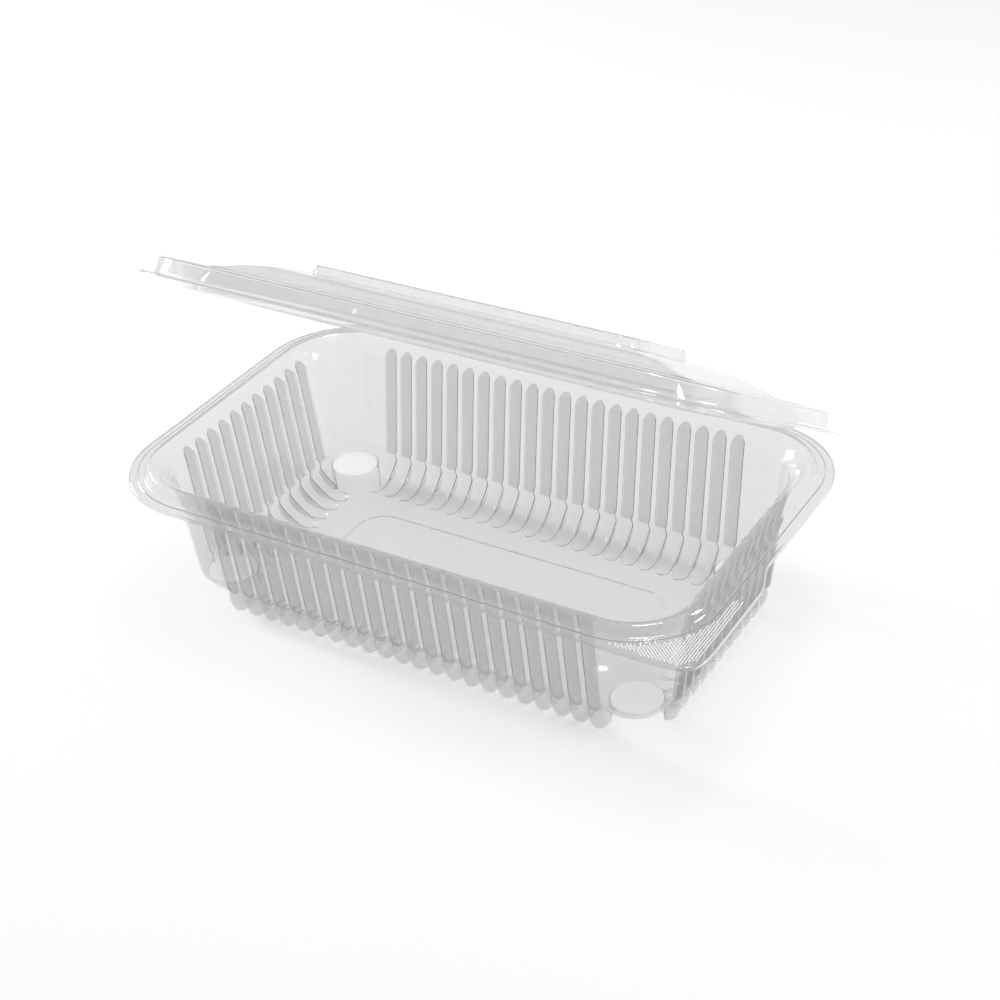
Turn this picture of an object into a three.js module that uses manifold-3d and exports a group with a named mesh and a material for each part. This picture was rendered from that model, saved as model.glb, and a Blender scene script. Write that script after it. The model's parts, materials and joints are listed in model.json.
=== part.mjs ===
// A clear thermoformed meal container: a fluted tray and the lid that opens on its back edge.
// Millimetres, +Z up, +X along the hinge, -Y towards the front.
// Tray and lid are each shaped round the middle of the tray, with the ground at height zero and the
// lid shut. At the end the lid is swung open and the origin put under the middle of the whole.

import * as THREE from 'three';
import { mergeVertices } from 'three/addons/utils/BufferGeometryUtils.js';
import Module from 'manifold-3d';

// Driving sizes
const SHEET = 0.6;                // thickness of the formed sheet
const CREST_LENGTH = 198;         // tray rim, crest to crest, along X
const CREST_WIDTH = 119;          // tray rim, crest to crest, along Y
const CREST_RADIUS = 23.5;        // corner radius of the crest
const CREST_HEIGHT = 54;          // height of the crest above the ground
const FLANGE_HEIGHT = 51;         // top face of the flat flange round the rim
const FLANGE_REACH = 8;           // flange edge, measured out from the crest
const FLOOR_HEIGHT = 2;           // top face of the floor, which the flutes hold off the ground
const FLUTE_PITCH = 6.5;
const LONG_FLUTES = 22;
const SHORT_FLUTES = 11;
const BOSS_RADIUS = 8.7;          // flat round boss in each lower corner
const BOSS_HEIGHT = 10;
const BOSS_INSET = 22;            // boss centre, measured in from the crest on both sides
const PANEL = { x: 62, y: 25, radius: 12, rise: 1, slope: 3 };
const TAB = { reach: 3.8, left: 76, back: -8, shoulder: -23, corner: 9, inner: 28.5 };
const HINGE_LENGTH = 140;
const HINGE_RADIUS = 0.9;         // rolled bead that the lid turns about
const HINGE_GAP = 0.35;           // clearance between the bead and the lid's strip
const STRIP_DEPTH = 1.5;          // how far each hinge strip runs in under or over its flange
const LID_OPEN_DEG = 32;          // how far the lid stands open
const LID_GAP = 0.3;              // clearance between the two flanges when shut
const PLATEAU = { x: 58, y: 23, radius: 6, rise: 2.8, slope: 1.5 };
const CLEAR_PET = { color: 0xe9edef, roughness: 0.06, metalness: 0, transparent: true, opacity: 0.4 };

// Mesh detail
const CORNER_STEPS = 6;           // columns round a corner of the tray's walls
const RIM_CORNER_STEPS = 8;       // columns round a corner of the rim and the lid
const FLUTE_STEPS = 4;
const FLUTE_FULLNESS = 0.8;       // below 1 the flute's section is rounder than a sine
const ROUND_STEPS = 20;
const BEAD_STEPS = 10;
const CURVE_STEPS = 5;
const TIGHTEST_RADIUS = 1;
const CEILING = 90;               // any height above every rim
const OVERSHOOT = 3;              // how far a cutter runs past the flange edge

const HALF_X = CREST_LENGTH / 2;
const HALF_Y = CREST_WIDTH / 2;
const HINGE_Y = HALF_Y + FLANGE_REACH + 1.9;
const HINGE_Z = FLANGE_HEIGHT + LID_GAP / 2;
const LID_Z = FLANGE_HEIGHT + LID_GAP + SHEET;   // top face of the shut lid's flange
const QUARTER_TURN = Math.PI / 2;
const STATIONS_PER_QUARTER = 2;                  // one for the corner, one for the side after it
const ALL_STATIONS = 4 * STATIONS_PER_QUARTER;

// Profiles run from the middle of the container outwards, as [distance out from the crest, height].
// Along a ridge between two flutes the wall is plain; along the middle of a flute it bulges out.
// The two meet again in the last point, where the plain band under the crest begins.
const RIDGE = [
  [-22.6, FLOOR_HEIGHT], [-16.6, 5.1], [-12.6, 8.9], [-10.6, 11.9], [-6.4, 48], [-3.5, 52],
];
const FLUTE = [
  [-25.6, FLOOR_HEIGHT], [-17.6, SHEET], [-12, 3.2], [-9.2, 9.4], [-4.5, 50.6], [-3.5, 52],
];
const RIM = [
  [-1.5, 53.5], [-0.3, CREST_HEIGHT], [0.9, 53.8], [1.8, 52.9], [2.5, 51.4],
  [3.1, FLANGE_HEIGHT], [FLANGE_REACH, FLANGE_HEIGHT],
];
// The lid's ridge covers the crest, and its plug drops inside the tray's wall.
const LID_EDGE = [
  [-20, LID_Z + 7.4], [-13.6, LID_Z + 6], [-11.4, LID_Z + 1.2], [-9.8, LID_Z - 2.6],
  [-7.9, LID_Z - 2.6], [-5.3, LID_Z + 0.9], [-3.3, LID_Z + 3.9], [-2.3, LID_Z + 5.2],
  [-1.3, LID_Z + 5.7], [1.3, LID_Z + 5.7], [2.5, LID_Z + 5.2], [3.3, LID_Z + 0.6],
  [4.1, LID_Z], [FLANGE_REACH, LID_Z],
];
// The roof bulges gently between the plug and the plateau in its middle.
const ROOF = { x: 69, y: 32, radius: 6, height: LID_Z + 9.5 };
const PLATEAU_FOOT = LID_Z + 11.2;

const wasm = await Module();
wasm.setup();

// Columns go once round a rounded rectangle, anticlockwise from +X. towards says which corner or side
// a column belongs to, out is its direction away from the middle, shift its place along a side in
// millimetres, bulge how far into a flute it lies, and station counts the corners and sides passed.
function cornerColumns(quarter, steps) {
  const start = quarter * QUARTER_TURN;
  const towards = [
    Math.round(Math.cos(start) - Math.sin(start)),
    Math.round(Math.sin(start) + Math.cos(start)),
  ];
  const columns = [];
  for (let step = 0; step <= steps; step += 1) {
    const angle = start + QUARTER_TURN * (step / steps);
    const out = [Math.cos(angle), Math.sin(angle)];
    const station = STATIONS_PER_QUARTER * quarter + step / steps;
    columns.push({ towards, out, shift: [0, 0], bulge: 0, station });
  }
  return columns;
}

function sideColumns(quarter) {
  const isLong = quarter % 2 === 0;
  const flutes = isLong ? LONG_FLUTES : SHORT_FLUTES;
  const straight = (isLong ? HALF_X : HALF_Y) - CREST_RADIUS;
  const facing = (quarter + 1) * QUARTER_TURN;
  const out = [Math.round(Math.cos(facing)), Math.round(Math.sin(facing))];
  const columns = [];
  for (let step = 0; step <= flutes * FLUTE_STEPS; step += 1) {
    const place = (step / FLUTE_STEPS - flutes / 2) * FLUTE_PITCH;
    const shift = [-out[1] * place, out[0] * place];
    const bulge = Math.sin((Math.PI * (step % FLUTE_STEPS)) / FLUTE_STEPS) ** FLUTE_FULLNESS;
    const station = STATIONS_PER_QUARTER * quarter + 1 + (place / straight + 1) / 2;
    columns.push({ towards: out, out, shift, bulge, station });
  }
  return columns;
}

function allColumns(cornerSteps, fluted) {
  const columns = [];
  for (let quarter = 0; quarter < 4; quarter += 1) {
    columns.push(...cornerColumns(quarter, cornerSteps));
    if (fluted) columns.push(...sideColumns(quarter));
  }
  return columns;
}

const FLUTED_COLUMNS = allColumns(CORNER_STEPS, true);
const PLAIN_COLUMNS = allColumns(RIM_CORNER_STEPS, false);

// A rounded rectangle that runs a given distance outside the crest.
function crestOutline(distance) {
  return {
    x: HALF_X + distance,
    y: HALF_Y + distance,
    radius: Math.max(CREST_RADIUS + distance, TIGHTEST_RADIUS),
  };
}

function ringPoint(column, outline, height) {
  const { towards, out, shift, station } = column;
  return {
    x: towards[0] * (outline.x - outline.radius) + out[0] * outline.radius + shift[0],
    y: towards[1] * (outline.y - outline.radius) + out[1] * outline.radius + shift[1],
    z: height,
    station,
  };
}

function plainRing(outline, height) {
  return PLAIN_COLUMNS.map((column) => ringPoint(column, outline, height));
}

function profileRing([distance, height]) {
  return plainRing(crestOutline(distance), height);
}

function flutedRing(ridge, flute) {
  return FLUTED_COLUMNS.map((column) => {
    const distance = ridge[0] + (flute[0] - ridge[0]) * column.bulge;
    const height = ridge[1] + (flute[1] - ridge[1]) * column.bulge;
    return ringPoint(column, crestOutline(distance), height);
  });
}

// The under face of the sheet: the profile moved square to itself by the sheet's thickness. The
// stretch before the first point and after the last one is flat.
function underProfile(profile) {
  return profile.map((point, index) => {
    const before = profile[index - 1] ?? [point[0] - 1, point[1]];
    const after = profile[index + 1] ?? [point[0] + 1, point[1]];
    const [first, second] = [[before, point], [point, after]].map(([from, to]) => {
      const length = Math.hypot(to[0] - from[0], to[1] - from[1]);
      return [(to[1] - from[1]) / length, (from[0] - to[0]) / length];
    });
    const scale = SHEET / (1 + first[0] * second[0] + first[1] * second[1]);
    return [point[0] + (first[0] + second[0]) * scale, point[1] + (first[1] + second[1]) * scale];
  });
}

// The closed body that fills everything above a skin of rings, up to the ceiling.
function solidAbove(rings) {
  const lifted = rings.at(-1).map((point) => ({ ...point, z: CEILING }));
  const layers = [...rings, lifted];
  const positions = [0, 0, rings[0][0].z, 0, 0, CEILING];
  const triangles = [];
  const starts = layers.map((ring) => {
    const start = positions.length / 3;
    ring.forEach((point) => positions.push(point.x, point.y, point.z));
    return start;
  });
  const last = starts.length - 1;
  layers[0].forEach((_, index) => {
    triangles.push(0, starts[0] + ((index + 1) % layers[0].length), starts[0] + index);
  });
  for (let layer = 0; layer < last; layer += 1) {
    const isFlat = layers[layer][0].z === layers[layer + 1][0].z;
    const join = isFlat ? fillFlat : stitch;
    triangles.push(...join(layers[layer], starts[layer], layers[layer + 1], starts[layer + 1]));
  }
  lifted.forEach((_, index) => {
    triangles.push(1, starts[last] + index, starts[last] + ((index + 1) % lifted.length));
  });
  return new wasm.Manifold(new wasm.Mesh({
    numProp: 3,
    vertProperties: new Float32Array(positions),
    triVerts: new Uint32Array(triangles),
  }));
}

// Triangles between two rings at one height, of which the outer one may wave in and out.
function fillFlat(inner, innerStart, outer, outerStart) {
  const [hole, edge] = [inner, outer].map((ring) => ring.map(({ x, y }) => new THREE.Vector2(x, y)));
  const place = (index) => (
    index < outer.length ? outerStart + index : innerStart + index - outer.length
  );
  return THREE.ShapeUtils.triangulateShape(edge, [hole])
    .flatMap(([a, b, c]) => [place(a), place(c), place(b)]);
}

// Triangles between two rings, which may differ in their number of columns.
function stitch(inner, innerStart, outer, outerStart) {
  const stationOf = (ring, index) => (
    index < ring.length ? ring[index].station : ring[index - ring.length].station + ALL_STATIONS
  );
  const triangles = [];
  let i = 0;
  let o = 0;
  while (i < inner.length || o < outer.length) {
    const innerAt = innerStart + (i % inner.length);
    const outerAt = outerStart + (o % outer.length);
    const innerFirst = stationOf(inner, i + 1) <= stationOf(outer, o + 1);
    if (o === outer.length || (i < inner.length && innerFirst)) {
      i += 1;
      triangles.push(innerAt, innerStart + (i % inner.length), outerAt);
    } else {
      o += 1;
      triangles.push(innerAt, outerStart + (o % outer.length), outerAt);
    }
  }
  return triangles;
}

function toSolid(geometry) {
  geometry.deleteAttribute('normal');
  geometry.deleteAttribute('uv');
  const merged = mergeVertices(geometry);
  return new wasm.Manifold(new wasm.Mesh({
    numProp: 3,
    vertProperties: new Float32Array(merged.attributes.position.array),
    triVerts: new Uint32Array(merged.index.array),
  }));
}

function toMesh(name, solid) {
  const { vertProperties, triVerts } = solid.getMesh();
  const geometry = new THREE.BufferGeometry();
  geometry.setAttribute('position', new THREE.BufferAttribute(vertProperties, 3));
  geometry.setIndex(new THREE.BufferAttribute(triVerts, 1));
  geometry.computeVertexNormals();
  const mesh = new THREE.Mesh(geometry, new THREE.MeshStandardMaterial(CLEAR_PET));
  mesh.name = name;
  return mesh;
}

// Upright posts that stand in for the four corner bosses, from below the ground up to their top.
function bossPosts(radius, top) {
  const height = top + OVERSHOOT;
  const posts = [];
  for (const side of [-1, 1]) {
    for (const end of [-1, 1]) {
      const post = new THREE.CylinderGeometry(radius, radius, height, ROUND_STEPS);
      post.rotateX(QUARTER_TURN);
      post.translate(side * (HALF_X - BOSS_INSET), end * (HALF_Y - BOSS_INSET), top - height / 2);
      posts.push(toSolid(post));
    }
  }
  return posts;
}

// The pull tab squares off the flange's front right corner and stands out past it.
function tabPlate() {
  const front = -(HALF_Y + FLANGE_REACH);
  const right = HALF_X + FLANGE_REACH + TAB.reach;
  const centreX = HALF_X - CREST_RADIUS;
  const centreY = -(HALF_Y - CREST_RADIUS);
  const outline = new THREE.Shape();
  outline.moveTo(centreX, centreY - TAB.inner);
  outline.lineTo(TAB.left, front);
  outline.lineTo(right - TAB.corner, front);
  outline.quadraticCurveTo(right, front, right, front + TAB.corner);
  outline.lineTo(right, TAB.shoulder);
  outline.lineTo(right - TAB.reach, TAB.back);
  outline.lineTo(centreX + TAB.inner, TAB.back);
  outline.lineTo(centreX + TAB.inner, centreY);
  outline.absarc(centreX, centreY, TAB.inner, 0, -QUARTER_TURN, true);
  const plate = new THREE.ExtrudeGeometry(outline, {
    depth: SHEET,
    bevelEnabled: false,
    curveSegments: CURVE_STEPS,
  });
  plate.translate(0, 0, FLANGE_HEIGHT - SHEET);
  return toSolid(plate);
}

// A flat strip along the back edge, between two places in Y.
function hingeStrip(from, to, top) {
  const strip = new THREE.BoxGeometry(HINGE_LENGTH, to - from, SHEET);
  strip.translate(0, (from + to) / 2, top - SHEET / 2);
  return toSolid(strip);
}

function hingeBead() {
  const bead = new THREE.CylinderGeometry(HINGE_RADIUS, HINGE_RADIUS, HINGE_LENGTH, BEAD_STEPS);
  bead.rotateZ(QUARTER_TURN);
  bead.translate(0, HINGE_Y, HINGE_Z);
  return toSolid(bead);
}

function traySkin(ridge, flute, sink) {
  const { x, y, radius, rise, slope } = PANEL;
  const inner = { x: x - slope, y: y - slope, radius: radius - slope };
  const walls = FLUTE.map((_, index) => flutedRing(ridge[index], flute[index]));
  return [
    plainRing(inner, FLOOR_HEIGHT + rise - sink),
    plainRing({ x, y, radius }, FLOOR_HEIGHT - sink),
    ...walls,
    ...ridge.slice(FLUTE.length).map(profileRing),
  ];
}

function makeTray() {
  const ridge = [...RIDGE, ...RIM];
  const flute = [...FLUTE, ...RIM];
  const past = profileRing([FLANGE_REACH + OVERSHOOT, FLANGE_HEIGHT]);
  let above = solidAbove([...traySkin(ridge, flute, 0), past]);
  let tray = solidAbove(traySkin(underProfile(ridge), underProfile(flute), SHEET));
  for (const post of bossPosts(BOSS_RADIUS, BOSS_HEIGHT)) above = above.subtract(post);
  for (const post of bossPosts(BOSS_RADIUS - SHEET, BOSS_HEIGHT - SHEET)) tray = tray.subtract(post);
  tray = tray.subtract(above);
  tray = tray.add(tabPlate());
  tray = tray.add(hingeStrip(HALF_Y + FLANGE_REACH - STRIP_DEPTH, HINGE_Y, FLANGE_HEIGHT));
  tray = tray.add(hingeBead());
  return toMesh('tray', tray);
}

function lidSkin(edge, sink) {
  const { x, y, radius, rise, slope } = PLATEAU;
  const foot = { x: x + slope, y: y + slope, radius: radius + slope };
  return [
    plainRing({ x, y, radius }, PLATEAU_FOOT + rise - sink),
    plainRing(foot, PLATEAU_FOOT - sink),
    plainRing(ROOF, ROOF.height - sink),
    ...edge.map(profileRing),
  ];
}

// The lid turns about the bead, so its mesh has the bead's axis as its origin.
function makeLid() {
  const past = profileRing([FLANGE_REACH + OVERSHOOT, LID_Z]);
  const above = solidAbove([...lidSkin(LID_EDGE, 0), past]);
  const stripEnd = HINGE_Y - HINGE_RADIUS - HINGE_GAP;
  const lid = solidAbove(lidSkin(underProfile(LID_EDGE), SHEET))
    .subtract(above)
    .add(hingeStrip(HALF_Y + FLANGE_REACH - STRIP_DEPTH, stripEnd, LID_Z))
    .translate([0, -HINGE_Y, -HINGE_Z]);
  return toMesh('lid', lid);
}

const hinge = new THREE.Group();
hinge.position.set(0, HINGE_Y, HINGE_Z);
hinge.rotation.x = THREE.MathUtils.degToRad(-LID_OPEN_DEG);
hinge.add(makeLid());

const container = new THREE.Group();
container.add(makeTray(), hinge);

// The origin lies on the ground, under the middle of the whole.
const box = new THREE.Box3().setFromObject(container, true);
container.position.set(-(box.min.x + box.max.x) / 2, -(box.min.y + box.max.y) / 2, -box.min.z);

export default container;
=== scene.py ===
# %% [markdown]
# # A clear thermoformed meal container
# The real thing is one sheet of clear PET, heated until it is soft and sucked into a mould. The
# sheet keeps almost the same thickness everywhere, so every shape in it is a bend. This lesson
# models the sheet as a single skin first, bends that skin, and gives it its thickness last.

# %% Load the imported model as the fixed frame
import json
import math

import bmesh
import bpy
from mathutils import Matrix, Vector


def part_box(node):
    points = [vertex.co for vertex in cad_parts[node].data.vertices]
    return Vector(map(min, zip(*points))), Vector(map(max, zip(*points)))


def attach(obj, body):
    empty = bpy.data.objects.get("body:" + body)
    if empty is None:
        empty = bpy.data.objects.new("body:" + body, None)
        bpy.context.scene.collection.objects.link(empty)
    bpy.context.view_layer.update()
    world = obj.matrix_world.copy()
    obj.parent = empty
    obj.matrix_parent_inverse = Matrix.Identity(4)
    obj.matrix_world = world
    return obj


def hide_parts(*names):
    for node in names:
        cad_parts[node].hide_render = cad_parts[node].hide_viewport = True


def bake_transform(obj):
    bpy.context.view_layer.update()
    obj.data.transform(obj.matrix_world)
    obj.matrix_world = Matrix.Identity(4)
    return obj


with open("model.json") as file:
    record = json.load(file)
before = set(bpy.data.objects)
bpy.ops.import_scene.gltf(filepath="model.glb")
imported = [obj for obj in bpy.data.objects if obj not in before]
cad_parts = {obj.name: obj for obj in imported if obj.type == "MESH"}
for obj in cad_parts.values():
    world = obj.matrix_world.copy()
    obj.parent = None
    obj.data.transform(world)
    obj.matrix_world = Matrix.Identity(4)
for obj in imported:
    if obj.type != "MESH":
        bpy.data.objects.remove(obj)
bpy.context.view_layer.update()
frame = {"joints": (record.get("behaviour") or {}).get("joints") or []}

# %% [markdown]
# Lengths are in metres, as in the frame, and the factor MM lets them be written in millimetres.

MM = 0.001
NEAR = 0.01 * MM          # places closer than this count as the same

# %% [markdown]
# ## Where the tray lies in the frame
# The frame's origin is under the middle of the whole, lid and pull tab included. The tray's own
# middle is easier to model round, so its place is worked out from the tray's box: its left end, its
# front edge and the top of its rim are known sizes.

# %% The tray's driving sizes and its middle
CREST_HALF_X = 99 * MM
CREST_HALF_Y = 59.5 * MM
CREST_RADIUS = 23.5 * MM
CREST_HEIGHT = 54 * MM
FLANGE_HEIGHT = 51 * MM
FLANGE_REACH = 8 * MM
FLOOR_HEIGHT = 2 * MM
SHEET = 0.3 * MM
tray_low, tray_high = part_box("tray")
TRAY_MIDDLE = Vector((
    tray_low.x + CREST_HALF_X + FLANGE_REACH,
    tray_low.y + CREST_HALF_Y + FLANGE_REACH,
    tray_high.z - CREST_HEIGHT,
))
HINGE = Vector(frame["joints"][0]["pos_m"]) - TRAY_MIDDLE
LID_OPEN = math.radians(-frame["joints"][0]["range_deg"][0])
print("tray middle:", TRAY_MIDDLE, "hinge from there:", HINGE)

# %% [markdown]
# ## The camera
# The photograph looks down on the front right corner with a slightly rolled camera. Its direction,
# distance and lens come from fitting the flutes and the rim, which repeat at a known pitch.

# %% Set the camera
CAMERA_PLACE = Vector((298.5, -466.1, 397.0)) * MM
CAMERA_AZIMUTH = math.radians(31.93)
CAMERA_ELEVATION = math.radians(33.01)
CAMERA_ROLL = math.radians(3.13)
CAMERA_LENS = 72.2
SENSOR_WIDTH = 36
back = Vector((
    math.sin(CAMERA_AZIMUTH) * math.cos(CAMERA_ELEVATION),
    -math.cos(CAMERA_AZIMUTH) * math.cos(CAMERA_ELEVATION),
    math.sin(CAMERA_ELEVATION),
))
level = Vector((math.cos(CAMERA_AZIMUTH), math.sin(CAMERA_AZIMUTH), 0))
upward = back.cross(level)
right = level * math.cos(CAMERA_ROLL) - upward * math.sin(CAMERA_ROLL)
top = level * math.sin(CAMERA_ROLL) + upward * math.cos(CAMERA_ROLL)
camera = bpy.data.objects.new("camera", bpy.data.cameras.new("camera"))
camera.data.lens = CAMERA_LENS
camera.data.sensor_width = SENSOR_WIDTH
camera.matrix_world = Matrix.Translation(CAMERA_PLACE + TRAY_MIDDLE) @ Matrix(
    (right, top, back)
).transposed().to_4x4()
bpy.context.scene.collection.objects.link(camera)
bpy.context.scene.camera = camera
print("camera at", camera.location)

# %% [markdown]
# ## Small helpers for modelling
# An operator works on whatever is selected, so nothing may be left selected by accident. These
# helpers pick one piece, or its faces, edges or points by a rule, just as a click would.

# %% Helpers that select and join
def activate(piece):
    """Leaves edit mode and selects this piece alone."""
    if bpy.context.object and bpy.context.object.mode != "OBJECT":
        bpy.ops.object.mode_set(mode="OBJECT")
    bpy.ops.object.select_all(action="DESELECT")
    piece.select_set(True)
    bpy.context.view_layer.objects.active = piece


def edit(piece, kind="VERT", rule=None):
    """Opens the piece in edit mode with only the elements selected that the rule picks."""
    activate(piece)
    bpy.ops.object.mode_set(mode="EDIT")
    bpy.ops.mesh.select_mode(type=kind)
    bpy.ops.mesh.select_all(action="DESELECT")
    if rule:
        shape = bmesh.from_edit_mesh(piece.data)
        elements = {"VERT": shape.verts, "EDGE": shape.edges, "FACE": shape.faces}[kind]
        for element in elements:
            element.select_set(rule(element))
        shape.select_flush_mode()
        bmesh.update_edit_mesh(piece.data)


def finish_edit():
    bpy.ops.object.mode_set(mode="OBJECT")


def join(name, pieces):
    """Joins the pieces into one with this name, at the origin."""
    activate(pieces[0])
    for piece in pieces:
        piece.select_set(True)
    bpy.ops.object.join()
    bpy.ops.object.transform_apply(location=True, rotation=True, scale=True)
    joined = bpy.context.object
    joined.name = name
    joined.data.name = name
    return joined


def apply_modifier(piece, kind, **settings):
    activate(piece)
    modifier = piece.modifiers.new(kind.lower(), kind)
    for key, value in settings.items():
        setattr(modifier, key, value)
    bpy.ops.object.modifier_apply(modifier=modifier.name)


def copy_at(piece, place):
    """A copy with its own mesh, at a place given as a matrix."""
    copy = piece.copy()
    copy.data = piece.data.copy()
    copy.matrix_world = place
    bpy.context.scene.collection.objects.link(copy)
    return copy


def centre(element):
    """The middle of an edge or a face."""
    return sum((v.co for v in element.verts), Vector()) / len(element.verts)

# %% [markdown]
# ## Profiles
# A formed sheet has no sharp corner: each bend follows the mould's radius. So a profile is a short
# list of corners, each with the reach of its bend as its last number, and this helper swaps every
# inner corner for a small curve.

# %% Round the corners of a profile
LONGEST_REACH = 0.45      # share of a profile's side that one bend may take
BEND_STEPS = 3
RIM_BEND_STEPS = 2


def rounded(corners, steps):
    """The profile in metres, with a curve of this many steps in place of each inner corner."""
    places = [Vector(corner[:-1]) for corner in corners]
    path = [places[0]]
    for number in range(1, len(corners) - 1):
        before, bend, after = places[number - 1 : number + 2]
        reach = corners[number][-1]
        start = bend.lerp(before, min(LONGEST_REACH, reach / (before - bend).length))
        end = bend.lerp(after, min(LONGEST_REACH, reach / (after - bend).length))
        for step in range(steps + 1):
            t = step / steps
            path.append(start.lerp(bend, t).lerp(bend.lerp(end, t), t))
    path.append(places[-1])
    return [point * MM for point in path]

# %% [markdown]
# ## Materials
# The sheet is **PET, thermoformed**: clear, glossy and very slightly wavy where the hot sheet
# touched the cooler mould. Light bends in it like in light glass, with an index of about 1.57. It
# is never quite clear: heating leaves a slight haze, which shows as a faint milky white on the
# parts that face the lamps. So a part of the light is scattered and the rest goes through.

# %% Helpers for node materials
def linear(hex_colour):
    """An sRGB hex colour as linear light."""
    parts = [int(hex_colour[i : i + 2], 16) / 255 for i in (1, 3, 5)]
    return [c / 12.92 if c <= 0.04045 else ((c + 0.055) / 1.055) ** 2.4 for c in parts] + [1]


def add_node(material, kind, links=(), **settings):
    """Adds a node. A setting names a property or an input; a link is (input, output socket)."""
    node = material.node_tree.nodes.new(kind)
    for key, value in settings.items():
        name = key.replace("_", " ").title()
        if hasattr(node, key):
            setattr(node, key, value)
        else:
            node.inputs[name].default_value = value
    for name, socket in links:
        material.node_tree.links.new(socket, node.inputs[name])
    return node


def new_material(name):
    """A material with an empty node tree."""
    material = bpy.data.materials.new(name)
    material.use_nodes = True
    material.node_tree.nodes.clear()
    return material

# %% [markdown]
# A noise in the piece's own coordinates bumps the sheet by a few thousandths of a millimetre. The
# rays that only carry light, from the lamps and between matt things, would get lost in the sheet's
# two faces, so for them it is a plain see-through pane that takes a little light.

# %% Clear PET in four kinds
PET_INDEX = 1.57
PANE_TINT = "#FBFBFB"
WAVES_PER_METRE = 70.0    # one wave in about 14 mm
WAVE_DETAIL = 2.0
SLIGHT_WAVE = 0.008 * MM
STRONG_WAVE = 0.012 * MM


def make_clear_pet(name, tint, roughness, clearness, wave_depth):
    """PET sheet. The clearness is the share of the light that isn't scattered."""
    material = new_material(name)
    link = material.node_tree.links.new
    place = add_node(material, "ShaderNodeTexCoord").outputs["Object"]
    wave = add_node(
        material, "ShaderNodeTexNoise", [("Vector", place)],
        scale=WAVES_PER_METRE, detail=WAVE_DETAIL,
    )
    bump = add_node(
        material, "ShaderNodeBump", [("Height", wave.outputs["Fac"])],
        strength=1.0, distance=wave_depth,
    )
    sheet = add_node(
        material, "ShaderNodeBsdfPrincipled", [("Normal", bump.outputs["Normal"])],
        roughness=roughness,
    )
    sheet.inputs["Base Color"].default_value = linear(tint)
    sheet.inputs["IOR"].default_value = PET_INDEX
    sheet.inputs["Transmission Weight"].default_value = clearness
    pane = add_node(material, "ShaderNodeBsdfTransparent")
    pane.inputs["Color"].default_value = linear(PANE_TINT)
    ray = add_node(material, "ShaderNodeLightPath")
    lighting = add_node(material, "ShaderNodeMath", operation="MAXIMUM")
    link(ray.outputs["Is Shadow Ray"], lighting.inputs[0])
    link(ray.outputs["Is Diffuse Ray"], lighting.inputs[1])
    mix = add_node(material, "ShaderNodeMixShader", [("Fac", lighting.outputs["Value"])])
    link(sheet.outputs["BSDF"], mix.inputs[1])
    link(pane.outputs["BSDF"], mix.inputs[2])
    add_node(material, "ShaderNodeOutputMaterial", [("Surface", mix.outputs["Shader"])])
    return material


# The tray's walls and floor: glossy, with a faint grey
clear_pet = make_clear_pet("Thermoformed clear PET", "#EBEBEB", 0.03, 0.9, SLIGHT_WAVE)
# The lid is shallow, so its sheet is hardly drawn and stays the clearest
lid_pet = make_clear_pet(
    "Thermoformed clear PET, little drawn", "#FAFAFA", 0.03, 0.9, SLIGHT_WAVE
)
# The channels are drawn deepest: a little duller and wavier, with painted shade as a darker tint
channel_shade_pet = make_clear_pet(
    "Thermoformed clear PET, deep drawn, painted shade", "#CECECE", 0.05, 0.9, STRONG_WAVE
)
# Pressed against a matt part of the mould: milky
matt_pet = make_clear_pet(
    "Thermoformed PET with a matt texture", "#FBFBFB", 0.14, 0.3, SLIGHT_WAVE
)
print("materials:", [m.name for m in (clear_pet, lid_pet, channel_shade_pet, matt_pet)])

# %% [markdown]
# ## One flute
# The flutes are what makes such a thin tray stiff. Each one is a half-round channel. It cuts into
# the sloping ledge under the rim with an arch and runs down the wall to a crease, where it gets
# narrow. Below the crease it swells into a round knob to stand on, and it ends on the floor in a
# round tip. Between two channels stands a flat ridge, wide at the crease and thin between the
# knobs. The wall is the same all round, so one flute is modelled once.

# %% Profiles of the ridge and the channel
FLUTE_PITCH = 6.5 * MM
# (distance out from the rim's crest, height, half width of the channel, reach of the bend), from
# the floor up to the rim
RIDGE_CORNERS = [
    (-23.1, 2, 2.6, 0), (-22.6, 2, 2.6, 0.3), (-20.4, 2.5, 2.8, 1), (-16.6, 5.1, 2.8, 1.5),
    (-14.3, 7.3, 2.8, 1), (-12.4, 9.4, 2.8, 0.7), (-11.5, 11, 1.7, 0.5), (-10.9, 12.2, 2.1, 0.6),
    (-6.4, 48, 2.2, 0.5), (-3.5, 52, 2.2, 0),
]
CHANNEL_CORNERS = [
    (-26.9, 2, 2.6, 0), (-25.6, 2, 2.6, 0.8), (-23.4, 0.7, 2.8, 1.2), (-17.2, 0.13, 2.8, 2.4),
    (-11.9, 1.3, 2.8, 2.2), (-9.9, 6.2, 2.8, 1.6), (-10.6, 9.6, 1.7, 0.6), (-9.1, 11.3, 2.1, 0.8),
    (-4.5, 50.6, 2.2, 0.5), (-3.5, 52, 2.2, 0),
]
ridge_path = rounded(RIDGE_CORNERS, BEND_STEPS)
channel_path = rounded(CHANNEL_CORNERS, BEND_STEPS)
last_row = len(ridge_path) - 1
print("flute profile:", last_row + 1, "rows")

# %% [markdown]
# A grid fits well: its rows follow the profile and its columns go across. Every point then moves
# to a place between the ridge's profile and the channel's profile, which no single operator can
# do, so a loop does it.

# %% Shape one flute from a grid
# Half of the section, from the channel's middle: (share of its half width, share of its depth)
CHANNEL_SECTION = [(0, 1), (0.26, 0.97), (0.5, 0.87), (0.71, 0.71), (0.87, 0.5), (0.97, 0.26)]
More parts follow.
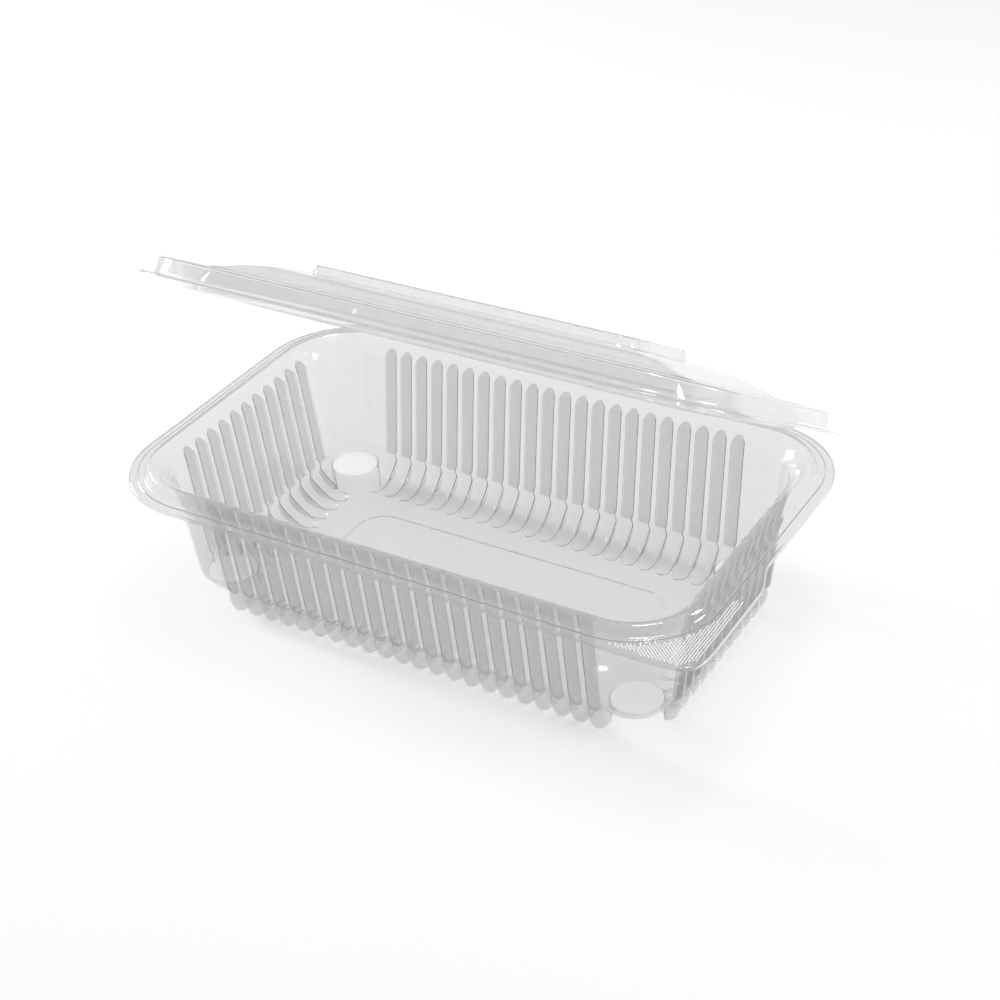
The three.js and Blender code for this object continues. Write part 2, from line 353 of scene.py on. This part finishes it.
# Over the shoulder to the ridge: (distance beyond that half width, share of the depth)
SHOULDER_SECTION = [(0.02 * MM, 0.1), (0.1 * MM, 0.03), (0.3 * MM, 0)]
SECTION_STEPS = len(CHANNEL_SECTION) + len(SHOULDER_SECTION)


def flute_point(column, row):
    """A point of the flute; column 0 is the channel's middle, the last one the ridge's."""
    half = ridge_path[row].z
    number = abs(column)
    if number < len(CHANNEL_SECTION):
        across, depth = CHANNEL_SECTION[number]
        across *= half
    elif number < SECTION_STEPS:
        beyond, depth = SHOULDER_SECTION[number - len(CHANNEL_SECTION)]
        across = half + beyond
    else:
        across, depth = FLUTE_PITCH / 2, 0
    out, height, _ = ridge_path[row].lerp(channel_path[row], depth)
    return Vector((math.copysign(across, column), -out, height))


columns = 2 * SECTION_STEPS
bpy.ops.object.select_all(action="DESELECT")
bpy.ops.mesh.primitive_grid_add(x_subdivisions=columns, y_subdivisions=last_row, size=1)
flute = bpy.context.object
for vertex in flute.data.vertices:
    column = round(vertex.co.x * columns)
    vertex.co = flute_point(column, round((vertex.co.y + 0.5) * last_row))
print("one flute:", len(flute.data.vertices), "points")

# %% [markdown]
# The channels on the wall get the darker material, a painted shade for the dark stripes the bent
# sheet shows there. The grid's faces are numbered row by row, so the channel's faces are easy to
# pick. Every copy keeps them.

# %% Paint shade into the channel with a darker material
CREASE_HEIGHT = 11 * MM
flute.data.materials.append(clear_pet)
flute.data.materials.append(channel_shade_pet)
for face in flute.data.polygons:
    row, column = divmod(face.index, columns)
    in_wall = ridge_path[row].y > CREASE_HEIGHT and row < last_row - 1
    in_channel = abs(column + 0.5 - SECTION_STEPS) < len(CHANNEL_SECTION) - 1
    face.material_index = int(in_wall and in_channel)
print("channel faces:", sum(face.material_index for face in flute.data.polygons))

# %% [markdown]
# ## The walls
# The long walls hold 22 flutes and the short ones 11, at the same pitch. Each copy is moved along
# its wall and turned with it.

# %% Copy the flute round the walls
LONG_FLUTES, SHORT_FLUTES = 22, 11
walls = []
for turn in range(4):
    half, count = ((CREST_HALF_Y, LONG_FLUTES), (CREST_HALF_X, SHORT_FLUTES))[turn % 2]
    for number in range(count):
        along = (number - (count - 1) / 2) * FLUTE_PITCH
        place = Matrix.Rotation(turn * math.pi / 2, 4, "Z") @ Matrix.Translation((along, -half, 0))
        walls.append(copy_at(flute, place))
print(len(walls), "flutes")

# %% [markdown]
# ## The corners
# A corner has no flutes. It is the ridge's profile, drawn a little along the wall and then spun a
# quarter turn about the corner's axis, which is what the Spin tool is for. The other three corners
# are mirror images.

# %% Spin the ridge's profile round a corner
CORNER_STEPS = 16
corner_x = CREST_HALF_X - CREST_RADIUS
corner_y = CREST_HALF_Y - CREST_RADIUS
long_end = LONG_FLUTES / 2 * FLUTE_PITCH
short_end = SHORT_FLUTES / 2 * FLUTE_PITCH
corner = copy_at(flute, Matrix.Translation((long_end + FLUTE_PITCH / 2, -CREST_HALF_Y, 0)))
activate(corner)
bpy.ops.object.transform_apply(location=True, rotation=True, scale=True)
edit(corner, "VERT", lambda v: v.co.x > long_end + NEAR)
bpy.ops.mesh.delete(type="VERT")
edit(corner, "EDGE", lambda e: True)
bpy.ops.mesh.extrude_region_move(TRANSFORM_OT_translate={"value": (corner_x - long_end, 0, 0)})
bpy.ops.mesh.spin(
    steps=CORNER_STEPS, angle=math.pi / 2, center=(corner_x, -corner_y, 0), axis=(0, 0, -1)
)
bpy.ops.mesh.extrude_region_move(TRANSFORM_OT_translate={"value": (0, corner_y - short_end, 0)})
finish_edit()
corners = [corner]
for mirror in ((-1, 1), (1, -1), (-1, -1)):
    corners.append(copy_at(corner, Matrix.Diagonal((*mirror, 1, 1))))
print("one corner:", len(corner.data.polygons), "faces")

# %% [markdown]
# Flutes and corners meet edge to edge. Merging their points by distance makes one skin of them.

# %% Join the walls and corners
MERGE_DISTANCE = 0.02 * MM
skin = join("tray_sheet", walls + corners)
edit(skin, "VERT", lambda v: True)
bpy.ops.mesh.remove_doubles(threshold=MERGE_DISTANCE)
finish_edit()
bpy.data.objects.remove(flute)
print("walls:", len(skin.data.vertices), "points")

# %% [markdown]
# ## The floor and its panel
# The flutes hold the flat floor just off the table. In its middle a rounded panel is raised by a
# millimetre, so its edge shows as a double line. Such a panel is a plate whose corner points are
# bevelled, and its step is a few insets.

# %% A plate with round corners
def rounded_plate(name, half_x, half_y, radius, height, steps):
    """A flat plate whose round corners have this many steps."""
    bpy.ops.object.select_all(action="DESELECT")
    bpy.ops.mesh.primitive_plane_add(size=2, location=(0, 0, height))
    plate = bpy.context.object
    plate.name = name
    plate.scale = (half_x, half_y, 1)
    bpy.ops.object.transform_apply(location=True, rotation=True, scale=True)
    edit(plate, "VERT", lambda v: True)
    bpy.ops.mesh.bevel(offset=radius, affect="VERTICES", segments=steps, profile=0.5)
    finish_edit()
    return plate


def inset_along(path):
    """Insets the selected face step by step: in by the first number, up by the second."""
    for before, after in zip(path, path[1:]):
        bpy.ops.mesh.inset(thickness=after[0] - before[0], depth=after[1] - before[1])

# %% [markdown]
# With the panel in place, Fill closes the flat ring between it and the flutes' tips.

# %% Model the floor
PANEL_HALF_X, PANEL_HALF_Y, PANEL_RADIUS = 62 * MM, 25 * MM, 12 * MM
PANEL_CORNER_STEPS = 12
PANEL_STEP = [(0, 0, 0), (0.8, 0, 0.5), (2.9, 1, 0.5), (3.7, 1, 0)]
panel = rounded_plate(
    "panel", PANEL_HALF_X, PANEL_HALF_Y, PANEL_RADIUS, FLOOR_HEIGHT, PANEL_CORNER_STEPS
)
panel.data.materials.append(clear_pet)
edit(panel, "FACE", lambda f: True)
inset_along(rounded(PANEL_STEP, BEND_STEPS))
finish_edit()
skin = join("tray_sheet", [skin, panel])
edit(skin, "EDGE", lambda e: e.is_boundary and centre(e).z < FLOOR_HEIGHT + NEAR)
bpy.ops.mesh.fill()
finish_edit()
print("with the floor:", len(skin.data.polygons), "faces")

# %% [markdown]
# ## The rim and the flange
# Above the flutes the sheet leans in to a plain band, rolls over a crest, drops to a flat flange
# and ends in a short lip turned down. All of it follows the rounded rectangle of the crest. So the
# top edge of the walls is extruded again and again, and each new ring is pushed out to its place.

# %% Push rings of points out from the middle
def nearest_axis(co):
    """The nearest point of the rectangle through the four corner axes."""
    return Vector((max(-corner_x, min(corner_x, co.x)), max(-corner_y, min(corner_y, co.y)), 0))


def push_selected(piece, distance, height):
    """Puts the selected points this far out from the crest, at this height."""
    shape = bmesh.from_edit_mesh(piece.data)
    for vertex in shape.verts:
        if vertex.select:
            axis = nearest_axis(vertex.co)
            out = Vector((vertex.co.x - axis.x, vertex.co.y - axis.y, 0)).normalized()
            vertex.co = axis + out * (CREST_RADIUS + distance) + Vector((0, 0, height))
    bmesh.update_edit_mesh(piece.data)

# %% [markdown]
# The small bump near the end of the profile is a bead, which stiffens the flat flange.

# %% Extrude the rim
# (distance out from the crest, height, reach of the bend)
RIM_CORNERS = [
    (-3.5, 52, 0), (-1.6, 53.4, 0.35), (-0.3, 54, 0.4), (0.9, 53.8, 0.4), (1.8, 52.9, 0.4),
    (2.5, 51.5, 0.4), (3.2, 51, 0.3), (4.6, 51, 0.1), (4.95, 51.25, 0.15), (5.3, 51, 0.1),
    (7.1, 51, 0),
]
edit(skin, "EDGE", lambda e: e.is_boundary and centre(e).z > FLANGE_HEIGHT)
for distance, height in rounded(RIM_CORNERS, RIM_BEND_STEPS)[1:]:
    bpy.ops.mesh.extrude_region_move()
    push_selected(skin, distance, height)
finish_edit()
print("with the rim:", len(skin.data.polygons), "faces")

# %% [markdown]
# ## The pull tab
# One front corner of the flange is squared off and stands out a little, so that a thumb can hold
# the tray there while the lid is lifted. Only the outermost ring of points moves. A superellipse
# gives the squared corner its soft point, and a shoulder leads back to the straight flange.

# %% Draw the flange out into the tab
LIP = 0.55 * MM
TAB_REACH = 3.8 * MM
TAB_RIGHT = CREST_HALF_X + FLANGE_REACH + TAB_REACH - LIP
TAB_FRONT = -(CREST_HALF_Y + FLANGE_REACH) + LIP
TAB_SQUARENESS = 9
TAB_SHOULDER = -23 * MM
TAB_BACK = -8 * MM


def tab_point(co):
    """Where a point on the flange's edge goes, or its own place outside the tab."""
    if co.x > corner_x and co.y < -corner_y:
        wide, deep = TAB_RIGHT - corner_x, -corner_y - TAB_FRONT
        ray = Vector((co.x - corner_x, co.y + corner_y))
        size = abs(ray.x / wide) ** TAB_SQUARENESS + abs(ray.y / deep) ** TAB_SQUARENESS
        ray /= size ** (1 / TAB_SQUARENESS)
        return Vector((corner_x + ray.x, -corner_y + ray.y, co.z))
    if co.x > corner_x and co.y < TAB_BACK:
        share = min(1, (TAB_BACK - co.y) / (TAB_BACK - TAB_SHOULDER))
        ease = share * share * (3 - 2 * share)
        return Vector((co.x + ease * (TAB_RIGHT - co.x), co.y, co.z))
    return co


edit(skin, "EDGE", lambda e: e.is_boundary)
bpy.ops.mesh.extrude_region_move()
push_selected(skin, FLANGE_REACH - LIP, FLANGE_HEIGHT)
shape = bmesh.from_edit_mesh(skin.data)
for vertex in shape.verts:
    if vertex.select:
        vertex.co = tab_point(vertex.co)
bmesh.update_edit_mesh(skin.data)
print("tab reaches to x =", round(TAB_RIGHT / MM, 1))

# %% [markdown]
# The cut edge of the sheet is turned down all round, so that it isn't sharp. Three more rings do
# it, each a little further out and lower than the last.

# %% Turn the lip down
LIP_DROPS = [(0.3 * MM, 0.12 * MM), (0.2 * MM, 0.4 * MM), (0.02 * MM, 0.5 * MM)]
for out, drop in LIP_DROPS:
    bpy.ops.mesh.extrude_region_move()
    shape = bmesh.from_edit_mesh(skin.data)
    for vertex in shape.verts:
        if vertex.select:
            away = vertex.co - nearest_axis(vertex.co)
            away.z = 0
            vertex.co += away.normalized() * out - Vector((0, 0, drop))
    bmesh.update_edit_mesh(skin.data)
finish_edit()
print("tray skin:", len(skin.data.polygons), "faces")

# %% [markdown]
# The rim has as many columns as the flutes below it, and on the straight sides it doesn't need
# them. Limited Dissolve merges the faces that lie in one plane, so the rim gets light again.

# %% Merge the flat faces of the straight rim
CORNER_MARGIN = 1 * MM
FLAT_ANGLE = math.radians(0.5)


def out_distance(co):
    """Distance out from the rim's crest."""
    axis = nearest_axis(co)
    return Vector((co.x - axis.x, co.y - axis.y)).length - CREST_RADIUS


def on_straight_rim(face):
    middle = centre(face)
    straight_x = abs(middle.x) < corner_x - CORNER_MARGIN
    straight_y = abs(middle.y) < corner_y - CORNER_MARGIN
    return (straight_x or straight_y) and out_distance(middle) > RIM_CORNERS[0][0] * MM + NEAR


edit(skin, "FACE", on_straight_rim)
bpy.ops.mesh.dissolve_limited(angle_limit=FLAT_ANGLE, use_dissolve_boundaries=False)
finish_edit()
print("lighter:", len(skin.data.polygons), "faces")

# %% [markdown]
# ## The corner bosses
# A flat round boss stands in each lower corner. It grows out of the curved wall, so it is easiest
# to let a Boolean find where the two meet. A Boolean needs closed bodies: the skin is closed by a
# ceiling, four posts are taken out of that block, and the ceiling is deleted again. What is left
# is the skin with four bosses pressed into it.

# %% Press the bosses into the skin
BOSS_RADIUS = 8.7 * MM
BOSS_HEIGHT = 10 * MM
BOSS_INSET = 22 * MM
BOSS_BEND = 0.5 * MM
BOSS_SIDES = 64
CEILING = 90 * MM
edit(skin, "EDGE", lambda e: e.is_boundary)
bpy.ops.mesh.extrude_region_move()
shape = bmesh.from_edit_mesh(skin.data)
for vertex in shape.verts:
    if vertex.select:
        vertex.co.z = CEILING
bmesh.update_edit_mesh(skin.data)
bpy.ops.mesh.edge_face_add()
bpy.ops.mesh.select_all(action="SELECT")
bpy.ops.mesh.normals_make_consistent(inside=False)
finish_edit()

posts = []
for side in (-1, 1):
    for end in (-1, 1):
        bpy.ops.object.select_all(action="DESELECT")
        bpy.ops.mesh.primitive_cylinder_add(
            vertices=BOSS_SIDES,
            radius=BOSS_RADIUS,
            depth=2 * BOSS_HEIGHT,
            location=(side * (CREST_HALF_X - BOSS_INSET), end * (CREST_HALF_Y - BOSS_INSET), 0),
        )
        post = bpy.context.object
        edit(post, "EDGE", lambda e: all(v.co.z > BOSS_HEIGHT - NEAR for v in e.verts))
        bpy.ops.mesh.bevel(offset=BOSS_BEND, segments=BEND_STEPS, profile=0.5)
        finish_edit()
        posts.append(post)
posts = join("posts", posts)
apply_modifier(skin, "BOOLEAN", object=posts, operation="DIFFERENCE", solver="EXACT")
bpy.data.objects.remove(posts)
edit(skin, "FACE", lambda f: any(v.co.z > CEILING - NEAR for v in f.verts))
bpy.ops.mesh.delete(type="FACE")
edit(skin, "VERT", lambda v: True)
bpy.ops.mesh.remove_doubles(threshold=NEAR)
bpy.ops.mesh.flip_normals()
finish_edit()
print("with bosses:", len(skin.data.polygons), "faces")

# %% [markdown]
# ## Thickness
# Forming stretches the 0.35 mm sheet to about 0.3 mm. Solidify gives the skin that thickness on
# its lower side, so the inside keeps its size. Then the tray takes its place in the frame.

# %% Give a skin its thickness and smooth shading
SMOOTH_ANGLE = math.radians(50)


def thicken(piece, thickness):
    """Solidifies a skin downwards and shades its bends smooth."""
    apply_modifier(
        piece, "SOLIDIFY", thickness=thickness, offset=-1, use_even_offset=True,
        use_quality_normals=True,
    )
    activate(piece)
    bpy.ops.object.shade_smooth_by_angle(angle=SMOOTH_ANGLE)


thicken(skin, SHEET)
tray = skin
tray.matrix_world = Matrix.Translation(TRAY_MIDDLE)
activate(tray)
bpy.ops.object.transform_apply(location=True, rotation=True, scale=True)
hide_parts("tray")
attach(tray, "tray")
print("tray sheet:", len(tray.data.polygons), "faces")

# %% [markdown]
# ## The grip on the pull tab
# The tab is roughened with a fine herringbone of ribs, cut into the mould, so that a thumb doesn't
# slip. One rib is a small bar with rounded top edges.

# %% Model one rib
RIB_LENGTH, RIB_WIDTH, RIB_RISE = 1.5 * MM, 0.34 * MM, 0.12 * MM
RIB_BEND = 0.09 * MM
bpy.ops.object.select_all(action="DESELECT")
bpy.ops.mesh.primitive_cube_add(size=1, location=(0, 0, FLANGE_HEIGHT))
rib = bpy.context.object
rib.scale = (RIB_LENGTH, RIB_WIDTH, 2 * RIB_RISE)
bpy.ops.object.transform_apply(location=True, rotation=True, scale=True)
edit(rib, "EDGE", lambda e: all(v.co.z > FLANGE_HEIGHT for v in e.verts))
bpy.ops.mesh.bevel(offset=RIB_BEND, segments=2, profile=0.5)
finish_edit()
print("one rib:", len(rib.data.polygons), "faces")

# %% [markdown]
# The ribs stand in three rows of lines. They lean one way on the front, the other way towards the
# corner, and run along the tab on its side. A line is tried at every step and kept where it fits.

# %% Copy it over the tab
RIB_GAP, RIB_BREAK = 0.85 * MM, 0.25 * MM
# The rows as (first x, last x, first y, last y, lean in degrees from the long side)
GRIP_ROWS = [
    (70 * MM, 86 * MM, -68 * MM, -55 * MM, 105),
    (86 * MM, 101 * MM, -68 * MM, -46 * MM, 140),
    (101 * MM, 112 * MM, -68 * MM, -30 * MM, 90),
]
GRIP_INNER = 6.1 * MM     # distance out from the crest where the ribs start
GRIP_MARGIN = 1.7 * MM    # clear strip along the tab's edge
LINES_TRIED = 160         # to each side of the tray's middle
RIBS_TRIED = 90


def on_grip(place, row):
    """Whether a rib fits here: in the row's box, on the tab and clear of its edges."""
    first_x, last_x, first_y, last_y, _ = row
    in_box = first_x < place.x < last_x and first_y < place.y < last_y
    if not in_box or out_distance(place) <= GRIP_INNER:
        return False
    if place.x < corner_x:
        return place.y > TAB_FRONT + GRIP_MARGIN
    if place.y > -corner_y:
        return place.x < TAB_RIGHT - GRIP_MARGIN
    axis = nearest_axis(place)
    return (place - axis).length < (tab_point(place) - axis).length - GRIP_MARGIN


ribs = []
step = RIB_LENGTH + RIB_BREAK
for row in GRIP_ROWS:
    lean = math.radians(row[-1])
    along = Vector((math.cos(lean), math.sin(lean), 0))
    across = Vector((-math.sin(lean), math.cos(lean), 0))
    for line in range(-LINES_TRIED, LINES_TRIED + 1):
        for number in range(-RIBS_TRIED, RIBS_TRIED + 1):
            place = across * line * RIB_GAP + along * (number + 0.5 * (line % 2)) * step
            if on_grip(place, row):
                turned = Matrix.Translation(place) @ Matrix.Rotation(lean, 4, "Z")
                ribs.append(copy_at(rib, Matrix.Translation(TRAY_MIDDLE) @ turned))
print(len(ribs), "ribs")
grip = join("tab_grip", ribs)
bpy.data.objects.remove(rib)
activate(grip)
bpy.ops.object.shade_smooth_by_angle(angle=SMOOTH_ANGLE)
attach(grip, "tray")
print("grip:", len(grip.data.polygons), "faces")

# %% [markdown]
# ## The lid
# The lid is formed from the same sheet. It is modelled shut: from the flange's edge the sheet rises
# over the tray's crest as a hollow ridge, plunges inside the tray's wall as a plug, climbs to a
# gently bulging roof and ends in a flat plateau. The edge is one rounded plate, inset again and
# again, in by a little and up or down by a little.

# %% Inset the lid's edge
LID_LEVEL = 51.9          # top of the shut lid's flange, in mm
LID_CORNER_STEPS = 16
# (distance out from the tray's crest, height over the lid's flange, reach of the bend)
LID_CORNERS = [
    (8, -0.65, 0), (7.9, -0.35, 0.15), (7.4, 0, 0.3), (4.1, 0, 0.4), (3.3, 0.6, 0.4),
    (2.5, 5.2, 0.4), (1.3, 5.7, 0.4), (-1.3, 5.7, 0.4), (-2.3, 5.2, 0.4), (-3.3, 3.9, 0.5),
    (-5.3, 0.9, 0.5), (-7.9, -2.6, 0.7), (-9.8, -2.6, 0.7), (-11.4, 1.2, 0.7), (-13.6, 6, 0.7),
    (-20, 7.4, 0),
]
lid_profile = rounded(LID_CORNERS, RIM_BEND_STEPS)
lid_path = [Vector((-out, LID_LEVEL * MM + up)) for out, up in lid_profile]
lid = rounded_plate(
    "lid_sheet", CREST_HALF_X + FLANGE_REACH, CREST_HALF_Y + FLANGE_REACH,
    CREST_RADIUS + FLANGE_REACH, lid_path[0][1], LID_CORNER_STEPS,
)
edit(lid, "FACE", lambda f: True)
inset_along(lid_path)
finish_edit()
print("lid edge:", len(lid.data.polygons), "faces")

# %% [markdown]
# The roof between the plug and the plateau is a soft bulge. Its inner face is taken out, a second
# plate with as many corner points is added for the plateau's foot, and Bridge joins the two with
# rings in between, which are then lifted along a curve that is highest near the plug.

# %% Bridge the roof to the plateau
PLATEAU_HALF_X, PLATEAU_HALF_Y, PLATEAU_RADIUS = 59.5 * MM, 24.5 * MM, 7.5 * MM
PLATEAU_FOOT = (LID_LEVEL + 11.2) * MM
PLATEAU_STEP = [(0, 0, 0), (1.3, 2.8, 0.5), (2.6, 2.8, 0)]
ROOF_RINGS = 7
ROOF_BULGE = 1.1 * MM
BULGE_FADE = 0.5          # share of the bulge that is lost towards the plateau
roof_edge = lid_path[-1][1]
edit(lid, "FACE", lambda f: all(abs(v.co.z - roof_edge) < NEAR for v in f.verts))
bpy.ops.mesh.delete(type="ONLY_FACE")
finish_edit()
plateau = rounded_plate(
    "plateau", PLATEAU_HALF_X, PLATEAU_HALF_Y, PLATEAU_RADIUS, PLATEAU_FOOT, LID_CORNER_STEPS
)
edit(plateau, "FACE", lambda f: True)
inset_along(rounded(PLATEAU_STEP, BEND_STEPS))
finish_edit()
lid = join("lid_sheet", [lid, plateau])
edit(lid, "EDGE", lambda e: e.is_boundary and centre(e).z > roof_edge - NEAR)
bpy.ops.mesh.bridge_edge_loops(number_cuts=ROOF_RINGS, interpolation="LINEAR")
finish_edit()
for vertex in lid.data.vertices:
    share = (vertex.co.z - roof_edge) / (PLATEAU_FOOT - roof_edge)
    if 0 < share < 1:
        vertex.co.z += ROOF_BULGE * math.sin(math.pi * share) * (1 - BULGE_FADE * share)
edit(lid, "FACE", lambda f: True)
bpy.ops.mesh.normals_make_consistent(inside=False)
finish_edit()
print("lid skin:", len(lid.data.polygons), "faces")

# %% [markdown]
# The shut lid is thickened and then swung open about the hinge, as it stands in the photograph.

# %% Thicken the lid and open it
thicken(lid, SHEET)
opened = (
    Matrix.Translation(TRAY_MIDDLE + HINGE)
    @ Matrix.Rotation(-LID_OPEN, 4, "X")
    @ Matrix.Translation(-HINGE)
)
lid.matrix_world = opened
activate(lid)
bpy.ops.object.transform_apply(location=True, rotation=True, scale=True)
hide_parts("lid")
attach(lid, "lid")
print("lid sheet:", len(lid.data.polygons), "faces")

# %% [markdown]
# ## The living hinge
# Tray and lid are one sheet, so a thin creased strip joins them along the back. The real strip bends
# when the lid moves; here it is modelled as it stands open. It is an edge extruded along its own
# small arc round the hinge line, and it meets the tray at one side and the open lid at the other.

# %% Extrude the hinge strip
HINGE_HALF = 70 * MM
HINGE_SHEET = 0.25 * MM
HINGE_BEND = 0.75 * MM
HINGE_FROM, HINGE_TURN = math.radians(-105), math.radians(230)
HINGE_STEPS = 8
TRAY_LAP = Vector((0, -1 * MM, -0.1 * MM))    # from the back edge of the tray's flange
LID_LAP = Vector((0, -2.9 * MM, 0.6 * MM))    # from the hinge line, with the lid shut
tray_edge = Vector((0, CREST_HALF_Y + FLANGE_REACH, FLANGE_HEIGHT)) + TRAY_LAP
lid_edge = Matrix.Rotation(-LID_OPEN, 3, "X") @ LID_LAP + HINGE
hinge_path = [tray_edge]
for step in range(HINGE_STEPS + 1):
    turn = HINGE_FROM + HINGE_TURN * step / HINGE_STEPS
    hinge_path.append(HINGE + HINGE_BEND * Vector((0, math.cos(turn), math.sin(turn))))
hinge_path.append(lid_edge)
bpy.ops.object.select_all(action="DESELECT")
bpy.ops.mesh.primitive_plane_add(size=2)
hinge = bpy.context.object
hinge.name = "hinge_strip"
edit(hinge, "VERT", lambda v: v.co.y > 0)
bpy.ops.mesh.delete(type="VERT")
finish_edit()
for vertex in hinge.data.vertices:
    vertex.co = hinge_path[0] + Vector((math.copysign(HINGE_HALF, vertex.co.x), 0, 0))
edit(hinge, "EDGE", lambda e: True)
for before, after in zip(hinge_path, hinge_path[1:]):
    bpy.ops.mesh.extrude_region_move(TRANSFORM_OT_translate={"value": after - before})
finish_edit()
thicken(hinge, HINGE_SHEET)
hinge.matrix_world = Matrix.Translation(TRAY_MIDDLE)
activate(hinge)
bpy.ops.object.transform_apply(location=True, rotation=True, scale=True)
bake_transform(hinge)
print("hinge strip:", len(hinge.data.polygons), "faces")

# %% [markdown]
# ## The other pieces' materials
# The tray has two of its materials from the flute. The mould is matt where a boss is pressed, so
# the tops of the four bosses look white, and only those faces get the third one.

# %% Give out the rest of the materials
MATT_SLOT = 2
TOP_TOLERANCE = 0.1 * MM
for piece, material in ((lid, lid_pet), (hinge, lid_pet), (grip, matt_pet)):
    piece.data.materials.clear()
    piece.data.materials.append(material)
tray.data.materials.append(matt_pet)
matt_faces = 0
for face in tray.data.polygons:
    place = face.center - TRAY_MIDDLE
    axis = Vector((
        math.copysign(CREST_HALF_X - BOSS_INSET, place.x),
        math.copysign(CREST_HALF_Y - BOSS_INSET, place.y),
        place.z,
    ))
    at_height = abs(place.z - BOSS_HEIGHT) < TOP_TOLERANCE
    if at_height and (place - axis).length < BOSS_RADIUS - BOSS_BEND:
        face.material_index = MATT_SLOT
        matt_faces += 1
print("matt faces:", matt_faces)

# %% [markdown]
# ## Floor, lamps and surroundings
# A clear thing shows only what it bends and mirrors. It stands on a matt white floor under three
# soft lamps, and the light grey of the room gives its walls their tone.

# %% Stage and lamps
FLOOR_SIZE = 6
FLOOR_WHITE = "#F7F7F7"
FLOOR_ROUGHNESS = 0.9
ROOM_GREY = "#B8B8B8"
bpy.ops.object.select_all(action="DESELECT")
bpy.ops.mesh.primitive_plane_add(size=FLOOR_SIZE)
floor = bpy.context.object
floor.name = "floor"
floor_paint = new_material("Matt white floor")
paint = add_node(floor_paint, "ShaderNodeBsdfPrincipled", roughness=FLOOR_ROUGHNESS)
paint.inputs["Base Color"].default_value = linear(FLOOR_WHITE)
add_node(floor_paint, "ShaderNodeOutputMaterial", [("Surface", paint.outputs["BSDF"])])
floor.data.materials.append(floor_paint)


def softbox(name, place, size, power):
    """A flat lamp that faces the origin: place and size in metres, power in watts."""
    lamp = bpy.data.objects.new(name, bpy.data.lights.new(name, "AREA"))
    lamp.data.shape = "RECTANGLE"
    lamp.data.size, lamp.data.size_y = size
    lamp.data.energy = power
    lamp.location = place
    lamp.rotation_euler = (-Vector(place)).to_track_quat("-Z", "Y").to_euler()
    bpy.context.scene.collection.objects.link(lamp)


softbox("top_softbox", (0.1, 0.2, 1.4), (0.3, 0.3), 7.5)
softbox("left_softbox", (-1.2, 0.1, 0.5), (0.35, 0.35), 7)
softbox("right_softbox", (1.1, 0.5, 0.7), (0.25, 0.5), 4)
world = bpy.data.worlds.new("studio")
world.use_nodes = True
world.node_tree.nodes["Background"].inputs["Color"].default_value = linear(ROOM_GREY)
world.node_tree.nodes["Background"].inputs["Strength"].default_value = 1.0
bpy.context.scene.world = world
bpy.context.scene.view_settings.view_transform = "Standard"
print("stage set")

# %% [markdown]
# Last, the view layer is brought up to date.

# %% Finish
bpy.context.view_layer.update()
